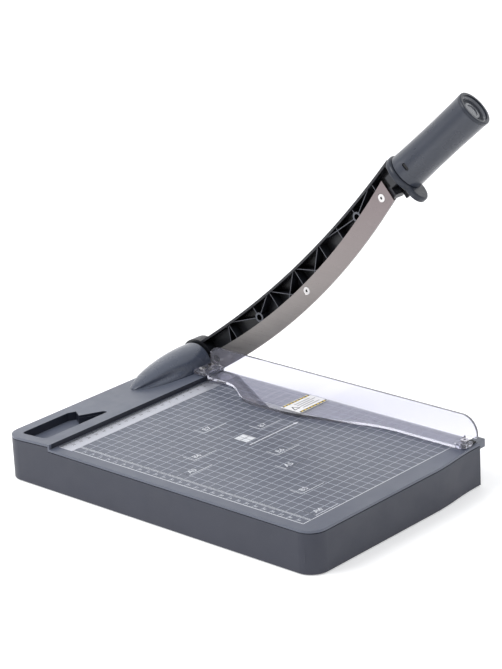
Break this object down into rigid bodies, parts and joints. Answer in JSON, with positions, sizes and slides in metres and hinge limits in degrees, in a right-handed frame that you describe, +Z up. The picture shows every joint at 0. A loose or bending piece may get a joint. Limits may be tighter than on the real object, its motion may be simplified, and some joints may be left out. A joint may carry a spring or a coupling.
{
  "type": "guillotine paper cutter",
  "caption": "Guillotine paper cutter with a ruled deck, raised rear ledge, clear sprung guard and a curved blade arm that swings up on a side pivot.",
  "frame": {"origin": "bottom centre of the whole cutter's bounding box with the arm open, on the surface the rubber feet stand on", "axes": "+X towards the blade's side, +Y from the front edge to the raised ledge and the pivot, +Z up; the cutting plane is at X = 0.0968 m"},
  "size_m": [0.2904, 0.382, 0.3604],
  "materials": {
    "top_cover": "fine matt texture",
    "base_housing": "fine matt texture",
    "bottom_cover": "matt",
    "rubber": "matt",
    "zinc_screws": "zinc plated",
    "ruler": "satin anodised",
    "knife_steel": "ground",
    "rail": "extruded",
    "black_screws": "black oxide",
    "bracket": "zinc plated",
    "brass": "turned",
    "bolt": "turned",
    "spacer": "moulded nylon",
    "spring_steel": "drawn wire",
    "pivot_cover": "satin",
    "arm": "satin, glass-filled",
    "hub_cap": "satin",
    "hand_guard": "satin",
    "grip": "soft matt",
    "clip": "matt",
    "grip_ring": "satin",
    "grip_cap": "gloss",
    "clear_guard": "clear polished acrylic",
    "label": "printed film",
    "lock": "satin",
    "lock_pad": "matt"
  },
  "bodies": {
    "base": {"top_cover": "top_cover", "base_housing": "base_housing", "bottom_cover": "bottom_cover", "rubber_feet": "rubber", "bottom_screws": "zinc_screws", "ruler_strip": "ruler", "bed_knife": "knife_steel", "knife_rail": "rail", "bed_knife_screws": "black_screws", "pivot_bracket": "bracket", "bracket_screws": "zinc_screws", "bracket_bush": "brass", "pivot_bolt": "bolt", "thrust_spacer": "spacer", "tension_spring": "spring_steel", "spring_washers": "zinc_screws", "lock_nut": "zinc_screws", "pivot_cover": "pivot_cover", "guard_screws": "black_screws", "ledge_springs": "spring_steel", "deck_spring": "spring_steel"},
    "blade_arm": {"arm_frame": "arm", "arm_bush": "brass", "hub_cap": "hub_cap", "blade": "knife_steel", "blade_screws": "black_screws", "blade_inserts": "brass", "hand_guard": "hand_guard", "grip": "grip", "grip_clip": "clip", "grip_ring": "grip_ring", "grip_cap": "grip_cap", "grip_screw": "zinc_screws"},
    "paper_guard": {"guard_plate": "clear_guard", "guard_label": "label"},
    "blade_lock": {"lock_slide": "lock", "lock_pad": "lock_pad"}
  },
  "joints": [
    {"name": "blade_hinge", "type": "hinge", "parent": "base", "child": "blade_arm", "pos_m": [0.09677, 0.168, 0.047], "axis": [-1, 0, 0], "range_deg": [-41, 19]},
    {"name": "guard_press", "type": "slide", "parent": "base", "child": "paper_guard", "axis": [0, 0, 1], "range_m": [-0.0012, 0], "stiffness_N_per_m": 3000, "springref_m": 0.001, "deforming": ["ledge_springs", "deck_spring"]},
    {"name": "lock_bolt", "type": "slide", "parent": "base", "child": "blade_lock", "axis": [1, 0, 0], "range_m": [0, 0.0048]}
  ]
}
